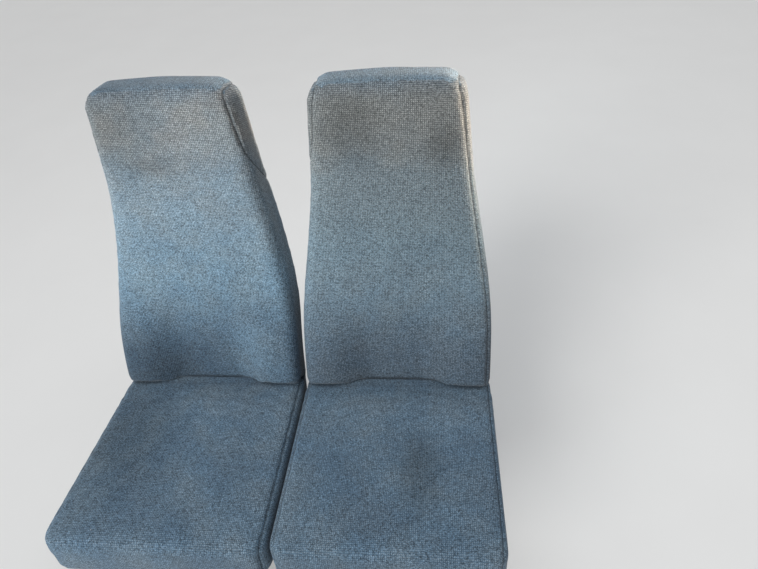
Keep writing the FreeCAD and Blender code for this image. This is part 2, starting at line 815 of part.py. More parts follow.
os.makedirs("parts", exist_ok=True)
for node in nodes:
    node.Shape.exportStep(f"parts/{node.Label}.step")
    box = node.Shape.BoundBox
    print(
        f"{node.Label}: {len(node.Shape.Solids)} solid, {node.Shape.Volume / 1000:.1f} cm3, "
        f"x {box.XMin:.1f} {box.XMax:.1f}, y {box.YMin:.1f} {box.YMax:.1f}, "
        f"z {box.ZMin:.1f} {box.ZMax:.1f}"
    )
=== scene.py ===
import bpy
import bmesh
import math
from functools import partial
import numpy as np
from mathutils import Matrix, Vector
from mathutils.bvhtree import BVHTree
from mathutils.kdtree import KDTree


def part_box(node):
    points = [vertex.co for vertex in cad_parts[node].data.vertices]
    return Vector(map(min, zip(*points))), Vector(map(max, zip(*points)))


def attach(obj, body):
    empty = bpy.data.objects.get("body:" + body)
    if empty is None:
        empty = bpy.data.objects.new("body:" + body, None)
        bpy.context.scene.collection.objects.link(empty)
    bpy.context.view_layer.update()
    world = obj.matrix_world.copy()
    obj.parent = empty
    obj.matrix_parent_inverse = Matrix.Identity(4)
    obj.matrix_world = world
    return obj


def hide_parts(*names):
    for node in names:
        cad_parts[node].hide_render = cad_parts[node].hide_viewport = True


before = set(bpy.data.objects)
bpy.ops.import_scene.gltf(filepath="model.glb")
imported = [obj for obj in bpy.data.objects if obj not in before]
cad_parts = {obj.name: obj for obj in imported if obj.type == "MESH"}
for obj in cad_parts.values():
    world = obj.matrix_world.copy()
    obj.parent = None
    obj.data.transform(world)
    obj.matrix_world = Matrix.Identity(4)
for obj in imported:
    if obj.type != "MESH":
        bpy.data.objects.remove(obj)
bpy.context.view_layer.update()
scene = bpy.context.scene

# Camera: high in front of the two seats, looking down at them and a little to the left.
# Its lens belongs to a frame 758 pixels wide with a focal length of 569.5 pixels.
CAMERA_PLACE = Vector((0.3138, -0.7007, 1.5164))
CAMERA_YAW = math.radians(-7.88)
CAMERA_PITCH = math.radians(43.84)
CAMERA_ROLL = math.radians(5.63)
SENSOR_WIDTH, FRAME_PIXELS, FOCAL_PIXELS = 36, 758, 569.5
camera_data = bpy.data.cameras.new("camera")
camera_data.sensor_width = SENSOR_WIDTH
camera_data.lens = SENSOR_WIDTH * FOCAL_PIXELS / FRAME_PIXELS
camera_data.clip_start = 0.02
camera = bpy.data.objects.new("camera", camera_data)
scene.collection.objects.link(camera)
camera.matrix_world = (
    Matrix.Translation(CAMERA_PLACE)
    @ Matrix.Rotation(-CAMERA_YAW, 4, "Z")
    @ Matrix.Rotation(math.radians(90) - CAMERA_PITCH, 4, "X")
    @ Matrix.Rotation(-CAMERA_ROLL, 4, "Z")
)
scene.camera = camera

# Seat cushions: two slabs of moulded foam in sewn covers of dotted cloth, drawn down over their
# steel pans. The top panel of a cover runs over the front edge and down the front, and is sewn
# along both edges to a side panel.
SIDES = ("left", "right")
# where the front of a back meets the top of its cushion, and how far each of them leans back
JUNCTION = np.array((0.0, 0.095, 0.412))
RECLINE = math.radians(18.3)
TILT = math.radians(7.4)
CUSHION_REACH, CUSHION_THICK = 0.416, 0.095
# the right-hand seam of a cushion, from the rear over the front edge down to the pan
CUSHION_SEAM = (
    (0.213, 0.028, -0.001),
    (0.213, -0.380, -0.001),
    (0.213, -0.398, -0.004),
    (0.213, -0.409, -0.018),
    (0.213, -0.413, -0.040),
    (0.213, -0.413, -0.094),
)
seat_middle = {}
for side in SIDES:
    low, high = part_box(f"seat_cushion_{side}")
    seat_middle[side] = (low.x + high.x) / 2


def lean_matrix(lean):
    return np.array(
        (
            (1, 0, 0),
            (0, math.cos(lean), -math.sin(lean)),
            (0, math.sin(lean), math.cos(lean)),
        )
    )


def to_seat(points, side, lean):
    """Points in a seat's own axes: across, rearward and up, leaning back, from the junction in
    its middle, where the front of the back meets the top of the cushion."""
    start = JUNCTION + (seat_middle[side], 0, 0)
    return (np.asarray(points) - start) @ lean_matrix(lean).T


def to_row(points, side, lean):
    """Points of one seat's own axes in the frame of the whole part."""
    start = JUNCTION + (seat_middle[side], 0, 0)
    return np.asarray(points, float) @ lean_matrix(lean) + start


def object_of(name, mesh):
    made = bpy.data.objects.new(name, mesh)
    scene.collection.objects.link(made)
    return made


def baked(piece):
    """The piece's mesh with its modifiers applied."""
    depsgraph = bpy.context.evaluated_depsgraph_get()
    return bpy.data.meshes.new_from_object(piece.evaluated_get(depsgraph))


def points_of(mesh):
    found = np.empty(len(mesh.vertices) * 3)
    mesh.vertices.foreach_get("co", found)
    return found.reshape(-1, 3)


def normals_of(mesh):
    found = np.empty(len(mesh.vertices) * 3, np.float32)
    mesh.vertex_normals.foreach_get("vector", found)
    return found.reshape(-1, 3).astype(float)


def set_points(mesh, points):
    mesh.vertices.foreach_set("co", np.ascontiguousarray(points, np.float32).ravel())
    mesh.update()


def resampled(points, pitch):
    """Evenly spaced points along a polyline."""
    points = np.asarray(points, float)
    runs = np.linalg.norm(np.diff(points, axis=0), axis=1)
    along = np.concatenate(([0], np.cumsum(runs)))
    places = np.linspace(0, along[-1], max(2, int(round(along[-1] / pitch)) + 1))
    return np.stack([np.interp(places, along, points[:, axis]) for axis in range(3)], 1)


def rounded_corners(points, passes):
    """The polyline with its corners cut, again and again."""
    points = np.asarray(points, float)
    for _ in range(passes):
        quarter = points[:-1] * 0.75 + points[1:] * 0.25
        three = points[:-1] * 0.25 + points[1:] * 0.75
        between = np.stack([quarter, three], 1).reshape(-1, 3)
        points = np.concatenate([points[:1], between[1:-1], points[-1:]])
    return points


def laid_on(mesh, points):
    """The nearest points of a mesh's surface and the normals there."""
    tree = BVHTree.FromPolygons(
        [tuple(p) for p in points_of(mesh)], [tuple(f.vertices) for f in mesh.polygons]
    )
    found = [tree.find_nearest(Vector(p)) for p in points]
    return np.array([f[0] for f in found]), np.array([f[1] for f in found])


def distance_to(line, points):
    """Nearest place on a densely sampled line, and its distance, for each point."""
    tree = KDTree(len(line))
    for i, place in enumerate(line):
        tree.insert(Vector(place), i)
    tree.balance()
    found = [tree.find(Vector(p)) for p in points]
    return np.array([f[0] for f in found]), np.array([f[2] for f in found])


VOXEL, SOFTENINGS = 0.0062, 3


def foam_mesh(name):
    """An even, slightly softened mesh over the soft solid that the piece stands for."""
    piece = object_of(name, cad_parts[f"seat_{name}"].data.copy())
    piece.data.materials.clear()
    remesh = piece.modifiers.new("even", "REMESH")
    remesh.mode = "VOXEL"
    remesh.voxel_size = VOXEL
    soften = piece.modifiers.new("soften", "SMOOTH")
    soften.factor = 0.5
    soften.iterations = SOFTENINGS
    mesh = baked(piece)
    piece.modifiers.clear()
    piece.data = mesh
    return piece


COVER_MASS, FOAM_PRESSURE, SWELL_STEPS = 0.3, 4, 20
SWELL, SHARE_EVERYWHERE, FREE_LIFT, QUICK_SHARE = 0.004, 0.45, 0.010, 0.6


def stuffed(piece, held):
    """Swells the cover under the pressure of its foam. Held points stay. The others rise along
    their normals, by part of SWELL everywhere and by all of it where the cloth lifts freely."""
    mesh = piece.data
    start = points_of(mesh)
    pins = piece.vertex_groups.new(name="held")
    pins.add([int(i) for i in np.flatnonzero(held)], 1.0, "REPLACE")
    cover = piece.modifiers.new("stuffing", "CLOTH")
    settings = cover.settings
    settings.quality = 4
    settings.mass = COVER_MASS
    settings.use_pressure = True
    settings.uniform_pressure_force = FOAM_PRESSURE
    settings.effector_weights.gravity = 0
    settings.vertex_group_mass = "held"
    cover.collision_settings.use_collision = False
    for step in range(1, SWELL_STEPS + 1):
        scene.frame_set(step)
    end = points_of(baked(piece))
    scene.frame_set(1)
    piece.modifiers.clear()
    piece.vertex_groups.clear()
    normals = normals_of(mesh)
    lifted = ((end - start) * normals).sum(axis=1)
    share = SHARE_EVERYWHERE + (1 - SHARE_EVERYWHERE) * np.tanh(lifted / FREE_LIFT)
    set_points(mesh, start + normals * (SWELL * share * ~held)[:, None])


def subdivided(piece):
    finer = piece.modifiers.new("finer", "SUBSURF")
    finer.levels = 1
    piece.data = baked(piece)
    piece.modifiers.clear()
    piece.data.polygons.foreach_set("use_smooth", [True] * len(piece.data.polygons))


SEAM_PITCH, SEAM_REACH, SEAM_SINK = 0.001, 0.55 * VOXEL, 0.001
CREASE_DEPTH, CREASE_WIDTH = 0.0007, 0.0022
LIP_RISE, LIP_PLACE, LIP_WIDTH = 0.0004, 0.006, 0.004


def upholstered(name, side, lean, seams, resting, folded, shaped=None):
    """A stuffed piece. seams are polylines in the seat's own axes, and the functions take points
    there: resting says which lie on something, folded gives how far the cloth rises or sinks in
    its small folds, and shaped gives the foam a softer form than its solid has."""
    piece = foam_mesh(name)
    mesh = piece.data
    points = to_seat(points_of(mesh), side, lean)
    if shaped:
        points = shaped(points)
    points = to_row(points, side, lean)
    set_points(mesh, points)
    rests = resting(to_seat(points, side, lean))
    lines = [
        laid_on(mesh, to_row(resampled(seam, SEAM_PITCH), side, lean))[0] for seam in seams
    ]
    seam_points = np.concatenate(lines)
    nearest, distance = distance_to(seam_points, points)
    on_seam = (distance < SEAM_REACH) & ~rests
    sunk = nearest - normals_of(mesh) * SEAM_SINK
    set_points(mesh, np.where(on_seam[:, None], sunk, points))
    stuffed(piece, on_seam | rests)
    subdivided(piece)

    # the seam is a narrow crease, and the cloth beside it stands up a little
    mesh = piece.data
    points = points_of(mesh)
    distance = distance_to(seam_points, points)[1]
    crease = np.exp(-((distance / CREASE_WIDTH) ** 2))
    lip = np.exp(-(((distance - LIP_PLACE) / LIP_WIDTH) ** 2))
    rise = LIP_RISE * lip - CREASE_DEPTH * crease + folded(to_seat(points, side, lean))
    set_points(mesh, points + normals_of(mesh) * rise[:, None])
    # the crease mask also darkens the cloth in its shader, as painted shade in the seam
    mark = mesh.attributes.new("crease", "FLOAT", "POINT")
    mark.data.foreach_set("value", crease.astype(np.float32))
    return piece, lines


# each seat's panels come from another place on the roll
CLOTH_OFFSET = {"left": 0.0, "right": 3.0}


def cloth_map(piece, side, lean, panels):
    """Gives each face its place on its cloth panel, in metres, so that the weave runs straight
    up each panel. panels takes points, face middles and face normals in the seat's own axes."""
    mesh = piece.data
    points = to_seat(points_of(mesh), side, lean)
    loops = np.empty(len(mesh.loops), np.int32)
    mesh.loops.foreach_get("vertex_index", loops)
    totals = np.empty(len(mesh.polygons), np.int32)
    mesh.polygons.foreach_get("loop_total", totals)
    middles = np.empty(len(mesh.polygons) * 3, np.float32)
    mesh.polygons.foreach_get("center", middles)
    normals = np.empty(len(mesh.polygons) * 3, np.float32)
    mesh.polygons.foreach_get("normal", normals)
    middles = to_seat(middles.reshape(-1, 3).astype(float), side, lean)
    normals = normals.reshape(-1, 3).astype(float) @ lean_matrix(lean).T
    places = panels(
        points[loops], np.repeat(middles, totals, axis=0), np.repeat(normals, totals, axis=0)
    )
    places[:, 0] += CLOTH_OFFSET[side]
    layer = mesh.attributes.new("cloth", "FLOAT_VECTOR", "CORNER")
    flat = np.concatenate([places, np.zeros((len(places), 1))], 1)
    layer.data.foreach_set("vector", flat.astype(np.float32).ravel())


STITCH_PITCH, STITCH_LENGTH, STITCH_HALF, STITCH_PROUD = 0.0035, 0.0022, 0.0004, 0.0002


def stitched(piece, lines):
    """Short threads lying in the piece's seams, each a closed spindle with three edges."""
    shape = bmesh.new()
    for line in lines:
        places, normals = laid_on(piece.data, resampled(line, STITCH_PITCH))
        for i in range(1, len(places) - 1):
            along = Vector(places[i + 1] - places[i - 1]).normalized()
            up = Vector(normals[i])
            across = along.cross(up).normalized()
            middle = Vector(places[i]) + up * STITCH_PROUD
            corners = [
                middle - along * STITCH_LENGTH / 2 - up * STITCH_HALF,
                middle + along * STITCH_LENGTH / 2 - up * STITCH_HALF,
                middle + across * STITCH_HALF,
                middle + up * STITCH_HALF,
                middle - across * STITCH_HALF,
            ]
            first, last, *around = [shape.verts.new(corner) for corner in corners]
            for a, b in zip(around, around[1:] + around[:1]):
                shape.faces.new((first, a, b))
                shape.faces.new((last, b, a))
    mesh = bpy.data.meshes.new(f"{piece.name}_stitches")
    shape.to_mesh(mesh)
    shape.free()
    return object_of(f"{piece.name}_stitches", mesh)


def node(tree, kind, inputs=None, **settings):
    """A shader node, its inputs linked to sockets or set to plain values."""
    made = tree.nodes.new(kind)
    for key, value in settings.items():
        setattr(made, key, value)
    for key, value in (inputs or {}).items():
        socket = made.inputs[key]
        if isinstance(value, bpy.types.NodeSocket):
            tree.links.new(value, socket)
        else:
            socket.default_value = value
    return made


def calc(tree, operation, a, b=0.0, c=0.0):
    return node(tree, "ShaderNodeMath", {0: a, 1: b, 2: c}, operation=operation).outputs[0]


def vector(tree, operation, a, b=(0, 0, 0)):
    return node(tree, "ShaderNodeVectorMath", {0: a, 1: b}, operation=operation).outputs[0]


def mixed(tree, share, first, second):
    """A colour between two colours."""
    made = node(tree, "ShaderNodeMix", data_type="RGBA")
    for index, value in ((0, share), (6, first), (7, second)):
        socket = made.inputs[index]
        if isinstance(value, bpy.types.NodeSocket):
            tree.links.new(value, socket)
        else:
            socket.default_value = value
    return made.outputs[2]


def ramp(tree, value, low, high, to_low=0.0, to_high=1.0):
    """A smooth step of a value between two limits."""
    made = node(
        tree,
        "ShaderNodeMapRange",
        {0: value, 1: low, 2: high, 3: to_low, 4: to_high},
        interpolation_type="SMOOTHSTEP",
    )
    return made.outputs[0]


def noise(tree, place, scale, detail=2.0, roughness=0.5):
    made = node(
        tree,
        "ShaderNodeTexNoise",
        {"Vector": place, "Scale": scale, "Detail": detail, "Roughness": roughness},
    )
    return made.outputs[0]


def new_material(name):
    material = bpy.data.materials.new(name)
    material.use_nodes = True
    tree = material.node_tree
    tree.nodes.clear()
    shader = node(tree, "ShaderNodeBsdfPrincipled")
    output = node(tree, "ShaderNodeOutputMaterial")
    tree.links.new(shader.outputs[0], output.inputs[0])
    return material, tree, shader


def new_group(name, inputs, outputs):
    """An empty node group with named sockets, and the sockets that bring its inputs."""
    group = bpy.data.node_groups.new(name, "ShaderNodeTree")
    for way, sockets in (("INPUT", inputs), ("OUTPUT", outputs)):
        for label, kind in sockets.items():
            group.interface.new_socket(label, in_out=way, socket_type=f"NodeSocket{kind}")
    return group, node(group, "NodeGroupInput").outputs


def placed(tree, group, inputs):
    """The outputs of a group placed in a material with its own values."""
    return node(tree, "ShaderNodeGroup", inputs, node_tree=group).outputs


# the weave is a square grid of pale dots on slate yarn whose tone is uneven both ways
DOT_PITCH, DOT_EDGE, DOT_CORE = 0.0036, 0.40, 0.24
ROWS_PER_DOT, FLOATS_PER_DOT, ROW_STAGGER = 2.0, 1.5, 0.618
WEFT_SHARE, WARP_SHARE = 0.68, 0.32
DOT_RELIEF, YARN_RELIEF = 0.7, 0.3
weave, given = new_group(
    "dotted weave", {"Place": "Vector"}, {"Dot": "Float", "Yarn": "Float", "Height": "Float"}
)
cell_place = vector(weave, "MULTIPLY", given["Place"], (1 / DOT_PITCH, 1 / DOT_PITCH, 0))
within = node(weave, "ShaderNodeSeparateXYZ", {0: vector(weave, "FRACTION", cell_place)})
off_x, off_y = (
    calc(weave, "ABSOLUTE", calc(weave, "SUBTRACT", within.outputs[axis], 0.5)) for axis in (0, 1)
)
reach = calc(weave, "ADD", calc(weave, "POWER", off_x, 2.0), calc(weave, "POWER", off_y, 2.0))
reach = calc(weave, "SQRT", reach)
cell = vector(weave, "FLOOR", cell_place)
luck = node(weave, "ShaderNodeTexWhiteNoise", {"Vector": cell}, noise_dimensions="3D").outputs[0]
dot = calc(
    weave, "MULTIPLY", ramp(weave, reach, DOT_EDGE, DOT_CORE), ramp(weave, luck, -1.2, 1.2)
)
spread = node(weave, "ShaderNodeSeparateXYZ", {0: cell_place}).outputs


def floats(across, along, shift):
    """Yarn one way: rows half a pitch wide, each cut into short lengths of uneven tone."""
    row = calc(weave, "FLOOR", calc(weave, "MULTIPLY", across, ROWS_PER_DOT))
    start = calc(weave, "MULTIPLY", row, ROW_STAGGER)
    cut = calc(weave, "ADD", calc(weave, "MULTIPLY", along, FLOATS_PER_DOT), start)
    spot = node(
        weave, "ShaderNodeCombineXYZ", {0: calc(weave, "FLOOR", cut), 1: row, 2: shift}
    ).outputs[0]
    return node(weave, "ShaderNodeTexWhiteNoise", {"Vector": spot}).outputs[0]


weft = floats(spread[1], spread[0], 3.0)
warp = floats(spread[0], spread[1], 7.0)
weft_part = calc(weave, "MULTIPLY", weft, WEFT_SHARE)
yarn = calc(weave, "ADD", weft_part, calc(weave, "MULTIPLY", warp, WARP_SHARE))
dot_part = calc(weave, "MULTIPLY", dot, DOT_RELIEF)
relief = calc(weave, "ADD", dot_part, calc(weave, "MULTIPLY", yarn, YARN_RELIEF))
node(weave, "NodeGroupOutput", {"Dot": dot, "Yarn": yarn, "Height": relief})

# a blot is soft and uneven, 1 in its middle and 0 outside it; blots mark stains, painted shadows
# and shade, and a painted pool of light
soft_blot, given = new_group(
    "soft_blot", {"Place": "Vector", "Middle": "Vector", "Radii": "Vector"}, {"Mask": "Float"}
)
offset = vector(soft_blot, "SUBTRACT", given["Place"], given["Middle"])
offset = vector(soft_blot, "DIVIDE", offset, given["Radii"])
length = node(soft_blot, "ShaderNodeVectorMath", {0: offset}, operation="LENGTH").outputs["Value"]
wander = calc(soft_blot, "MULTIPLY", noise(soft_blot, given["Place"], 26.0, 3.0, 0.6), 0.9)
mask = ramp(soft_blot, calc(soft_blot, "ADD", length, wander), 1.75, 0.50)
node(soft_blot, "NodeGroupOutput", {"Mask": mask})


def blotted_at(tree, place, middle, radii):
    inputs = {"Place": place, "Middle": (*middle, 0), "Radii": (*radii, 1)}
    return placed(tree, soft_blot, inputs)["Mask"]


def strongest(tree, values):
    most = values[0]
    for value in values[1:]:
        most = calc(tree, "MAXIMUM", most, value)
    return most


# wear turns the dyed cloth grey where it is rubbed, and fading and painted light turn it pale;
# each of these states has the colour of its yarn and that of its dots
DYED = ((0.037, 0.063, 0.094, 1), (0.137, 0.176, 0.217, 1))
PALE = ((0.101, 0.157, 0.201, 1), (0.265, 0.312, 0.352, 1))
GREY = ((0.107, 0.112, 0.114, 1), (0.296, 0.297, 0.290, 1))
# two tints that wander over the cloth, the tint of yellowed cloth, and lint
COOLER, WARMER = (0.955, 1.0, 1.02, 1), (1.035, 1.0, 0.965, 1)
YELLOWED, LINT = (0.855, 0.825, 0.775, 1), (0.42, 0.42, 0.42, 1)
# how far the yarn's tone swings in fresh and in worn cloth, how much of its dots fresh cloth
# shows, how dark the painted shade in a seam's crease is, and how dark stains and painted shadows
# are
FRESH_SWING, WORN_SWING, FRESH_DOTS = 1.4, 1.1, 0.6
CREASE_SHADE, STAIN_SHADE = 0.5, 0.52
wear_and_light, given = new_group(
    "cloth wear",
    {
        "Place": "Vector",
        "Tone": "Float",
        "Worn": "Float",
        "Paled": "Float",
        "Stained and shaded": "Float",
        "Yellowed": "Float",
        "Crease": "Float",
    },
    {"Color": "Color", "Height": "Float"},
)
woven = placed(wear_and_light, weave, {"Place": given["Place"]})
shown = ramp(wear_and_light, given["Worn"], 0.0, 1.0, FRESH_DOTS, 1.0)
dot = calc(wear_and_light, "MULTIPLY", woven["Dot"], shown)
colour = mixed(wear_and_light, given["Paled"], mixed(wear_and_light, dot, *DYED), mixed(wear_and_light, dot, *PALE))
colour = mixed(wear_and_light, given["Worn"], colour, mixed(wear_and_light, dot, *GREY))
swing = ramp(wear_and_light, given["Worn"], 0.0, 1.0, FRESH_SWING, WORN_SWING)
shade = calc(wear_and_light, "MULTIPLY", calc(wear_and_light, "SUBTRACT", woven["Yarn"], 0.5), swing)
shade = calc(wear_and_light, "MULTIPLY", calc(wear_and_light, "ADD", shade, 1.0), given["Tone"])
# painted shade: the cloth is darkened along a seam's crease
painted_crease_shade = ramp(wear_and_light, given["Crease"], 0.3, 0.9, 1.0, CREASE_SHADE)
# the stain input also brings painted shadow and shade, which darken the cloth the same way as the
# stains
soiled_and_shaded = ramp(wear_and_light, given["Stained and shaded"], 0.0, 1.0, 1.0, STAIN_SHADE)
shade = calc(wear_and_light, "MULTIPLY", calc(wear_and_light, "MULTIPLY", shade, painted_crease_shade), soiled_and_shaded)
shaded = node(wear_and_light, "ShaderNodeVectorMath", {0: colour, "Scale": shade}, operation="SCALE")
drift = ramp(wear_and_light, noise(wear_and_light, given["Place"], 13.0, 2.0, 0.6), 0.35, 0.65)
drift = mixed(wear_and_light, drift, COOLER, WARMER)
drift = mixed(wear_and_light, given["Yellowed"], drift, YELLOWED)
colour = vector(wear_and_light, "MULTIPLY", shaded.outputs[0], drift)
fluff = node(wear_and_light, "ShaderNodeTexVoronoi", {"Vector": given["Place"], "Scale": 17.0}).outputs
chance = node(wear_and_light, "ShaderNodeSeparateColor", {0: fluff["Color"]}).outputs[0]
lint = ramp(wear_and_light, fluff["Distance"], 0.022, 0.010)
lint = calc(wear_and_light, "MULTIPLY", lint, ramp(wear_and_light, chance, 0.6, 0.7))
colour = mixed(wear_and_light, lint, colour, LINT)
node(wear_and_light, "NodeGroupOutput", {"Color": colour, "Height": woven["Height"]})


def seat_cloth(name, tone, soiling_and_painted_light):
    """The seats' cloth. The function given for its marks takes the tree and the place on the cloth
    and gives how grey it is worn, how pale fading and painted light make it, how dark dirt and
    painted shade and shadow make it, and how much it has yellowed."""
    material, tree, shader = new_material(name)
    place = node(tree, "ShaderNodeAttribute", attribute_name="cloth").outputs["Vector"]
    crease = node(tree, "ShaderNodeAttribute", attribute_name="crease").outputs["Fac"]
    worn, paled, stained_and_shaded, yellowed = soiling_and_painted_light(tree, place)
    inputs = {
        "Place": place,
        "Tone": tone,
        "Worn": worn,
        "Paled": paled,
        "Stained and shaded": stained_and_shaded,
        "Yellowed": yellowed,
        "Crease": crease,
    }
    surface = placed(tree, wear_and_light, inputs)
    tree.links.new(surface["Color"], shader.inputs["Base Color"])
    shader.inputs["Roughness"].default_value = 0.92
    shader.inputs["Specular IOR Level"].default_value = 0.25
    shader.inputs["Sheen Weight"].default_value = 0.12
    shader.inputs["Sheen Roughness"].default_value = 0.45
    bump = node(
        tree, "ShaderNodeBump", {"Height": surface["Height"], "Strength": 0.6, "Distance": 0.0006}
    )
    tree.links.new(bump.outputs[0], shader.inputs["Normal"])
    return material


# side, place across and rearward, radii
CUSHION_STAINS_AND_SHADOW = (
    ("right", 0.058, -0.235, (0.060, 0.130)),
    # the second row is no stain but painted shadow over the left of the left-hand cushion
    ("left", -0.150, -0.160, (0.150, 0.240)),
)
# painted light: the cushions' copy of the cloth is made 1.4 times as bright as the backs', in place
# of the light that falls on the cushions
CUSHION_LIT_TONE, CUSHION_DARKENING, REAR_SHADE = 1.40, 0.7, 0.42


def cushion_soiling_and_painted_shade(tree, place):
    """Sitting has darkened the cushions in soft blotches, and dirt has marked them. Painted shade
    darkens them along the foot of the back, and painted shadow the left of the left-hand cushion.
    """
    blotch = noise(tree, place, 7.0, 3.0, 0.55)
    rear = node(tree, "ShaderNodeSeparateXYZ", {0: place}).outputs[1]
    stains_and_shadows = [
        blotted_at(tree, place, (CLOTH_OFFSET[side] + across, rearward), radii)
        for side, across, rearward, radii in CUSHION_STAINS_AND_SHADOW
    ]
    stained_and_shaded = calc(tree, "MULTIPLY", strongest(tree, stains_and_shadows), CUSHION_DARKENING)
    # painted shade: the cushion darkens towards the rear, where it meets the back
    rear_painted_shade = ramp(tree, rear, -0.13, -0.01, 0.0, REAR_SHADE)
    stained_and_shaded = calc(tree, "MAXIMUM", stained_and_shaded, rear_painted_shade)
    worn = ramp(tree, blotch, 0.45, 0.75, 0.0, 0.10)
    paled = ramp(tree, blotch, 0.3, 0.7, 0.10, 0.35)
    return worn, paled, stained_and_shaded, 0.0


cushion_cloth = seat_cloth("seat_fabric_cushion", CUSHION_LIT_TONE, cushion_soiling_and_painted_shade)

thread, tree, shader = new_material("seam_thread")
place = node(tree, "ShaderNodeTexCoord").outputs["Object"]
fuzz = noise(tree, place, 900.0)
dark_thread = mixed(tree, fuzz, (0.008, 0.010, 0.014, 1), (0.03, 0.035, 0.045, 1))
tree.links.new(dark_thread, shader.inputs["Base Color"])
shader.inputs["Roughness"].default_value = 0.8


def finished(material, *names):
    """Gives the CAD nodes with names that start so their finish."""
    for name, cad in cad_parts.items():
        if name.startswith(names):
            for place in cad.material_slots:
                place.material = material


def dressed(piece, lines, cloth):
    """Gives a stuffed piece its cloth and stitches, in place of its soft solid."""
    stitches = stitched(piece, lines)
    piece.data.materials.append(cloth)
    stitches.data.materials.append(thread)
    for made in (piece, stitches):
        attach(made, "root")
    finished(cloth, f"seat_{piece.name}")
    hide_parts(f"seat_{piece.name}")


# above the underside, and behind the junction and the back's skirt, the cushion rests
PAN_CONTACT, BACK_CONTACT, SKIRT_CONTACT = 0.008, -0.004, 0.024


def cushion_rests(points):
    """On the pan, under the back, and against the back's skirt."""
    across, rear, up = points.T
    skirt = up * math.tan(RECLINE - TILT) + SKIRT_CONTACT
    return (up < PAN_CONTACT - CUSHION_THICK) | (rear > BACK_CONTACT) | (rear > skirt)


WAVE_PITCH, WAVE_RISE, WAVE_BOW = 0.031, 0.0004, 1.25
WAVE_MIDDLE, WAVE_REACH, WAVE_LOWEST = -0.055, 0.05, -0.02


def cushion_folds(points):
    """The cloth is slack near the back, where sitting has pushed it into low waves."""
    across, rear, up = points.T
    waves = np.sin(2 * math.pi * (rear + WAVE_BOW * across**2 + 0.01 * up) / WAVE_PITCH)
    reach = np.exp(-(((rear - WAVE_MIDDLE) / WAVE_REACH) ** 2))
    return WAVE_RISE * waves * reach * (up > WAVE_LOWEST)


# how squarely a face turns sideways or forward to belong to a side panel or the front, and how
# far on the roll the side panels' cloth lies from the others'
SQUARE, SIDE_CLOTH = 0.72, 0.5
CUSHION_SIDE = 0.213


def cushion_panels(points, middles, normals):
    across, rear, up = points.T
    place = np.stack([across, rear], 1)
    front = (normals[:, 1] < -SQUARE) & (np.abs(middles[:, 0]) < CUSHION_SIDE + 0.001)
    place[front] = np.stack([across, up - CUSHION_REACH], 1)[front]
    sides = np.abs(normals[:, 0]) > SQUARE
    sides |= (np.abs(middles[:, 0]) > CUSHION_SIDE) & (normals[:, 2] < 0.7)
    place[sides] = np.stack([up + SIDE_CLOTH, rear], 1)[sides]
    return place


right_seam = rounded_corners(CUSHION_SEAM, 3)
for side in SIDES:
    cushion, lines = upholstered(
        f"cushion_{side}",
        side,
        TILT,
        [right_seam * (-1, 1, 1), right_seam],
        cushion_rests,
        cushion_folds,
    )
    cloth_map(cushion, side, TILT, cushion_panels)
    dressed(cushion, lines, cushion_cloth)

# Seat backs: moulded foam in the same cloth, on a hidden steel frame. The front panel is shaped
# like a bottle and runs over the crown to the rear, and a narrow side panel is sewn along each
# edge. Two steel plates reach up into the foam, and a board closes the rear.
BACK_PROUD, BACK_THICK, BACK_HEIGHT, HIP_HALF = 0.012, 0.080, 0.689, 0.214
# along the curves of the front and of the outline the sine of the lean changes evenly with height,
# so a few heights and leans give each curve, and sums give its points
HEIGHTS = np.linspace(-0.20, 0.85, 1051)
front_sine = np.interp(HEIGHTS, (0, 0.175, 0.492), np.sin(np.radians((0, 15.7, -11.8))))
outline_sine = np.interp(
    HEIGHTS, (0.12, 0.26, 0.44, 0.52), np.sin(np.radians((0, 9.3, 9.3, 5.3)))
)


def summed(rates):
    """The running total of a rate over HEIGHTS, zero at height zero."""
    step = HEIGHTS[1] - HEIGHTS[0]
    total = np.concatenate(([0], np.cumsum((rates[1:] + rates[:-1]) / 2 * step)))
    return total - np.interp(0, HEIGHTS, total)


front_table = summed(front_sine / np.sqrt(1 - front_sine**2)) - BACK_PROUD
cloth_table = summed(1 / np.sqrt(1 - front_sine**2))
half_table = HIP_HALF - summed(outline_sine / np.sqrt(1 - outline_sine**2))


def front_depth(height):
    return np.interp(height, HEIGHTS, front_table)


def cloth_height(height):
    """Length of cloth up the back from the junction to a height."""
    return np.interp(height, HEIGHTS, cloth_table)


def half_width(height):
    return np.interp(height, HEIGHTS, half_table)


def behind_front(points):
    """How far points of the reclined axes lie behind the back's front curve."""
    cosine = np.sqrt(1 - np.interp(points[:, 2], HEIGHTS, front_sine) ** 2)
    return (points[:, 1] - front_depth(points[:, 2])) * cosine


# Each row of a seam holds a height, the millimetres in from the outline and those behind the
# front. The outer seam of one seat runs down the front edge, that of the other down the middle
# of the side wall, and both inner seams turn back over the wall below the shoulder.
FRONT_EDGE = (
    (0.664, 12, 3),
    (0.61, 9, 3),
    (0.57, 6, 3),
    (0.50, 3, 5),
    (0.36, 5, 4),
    (-0.012, 7, 3),
)
INNER_EDGE = (
    (0.664, 11, 3),
    (0.61, 8, 3),
    (0.57, 4, 3),
    (0.54, 1, 10),
    (0.50, 0, 45),
    (0.47, 1, 84),
)
WALL_MIDDLE = ((0.63, 0, 30), (0.50, 0, 40), (0.30, 0, 40), (-0.012, 0, 40))
BACK_SEAMS = {"left": (WALL_MIDDLE, INNER_EDGE), "right": (INNER_EDGE, FRONT_EDGE)}
CROWN_HALF, CORNER_HEIGHT, CROWN_HEIGHT = 0.136, 0.672, 0.680
crown_front = front_depth(CROWN_HEIGHT)
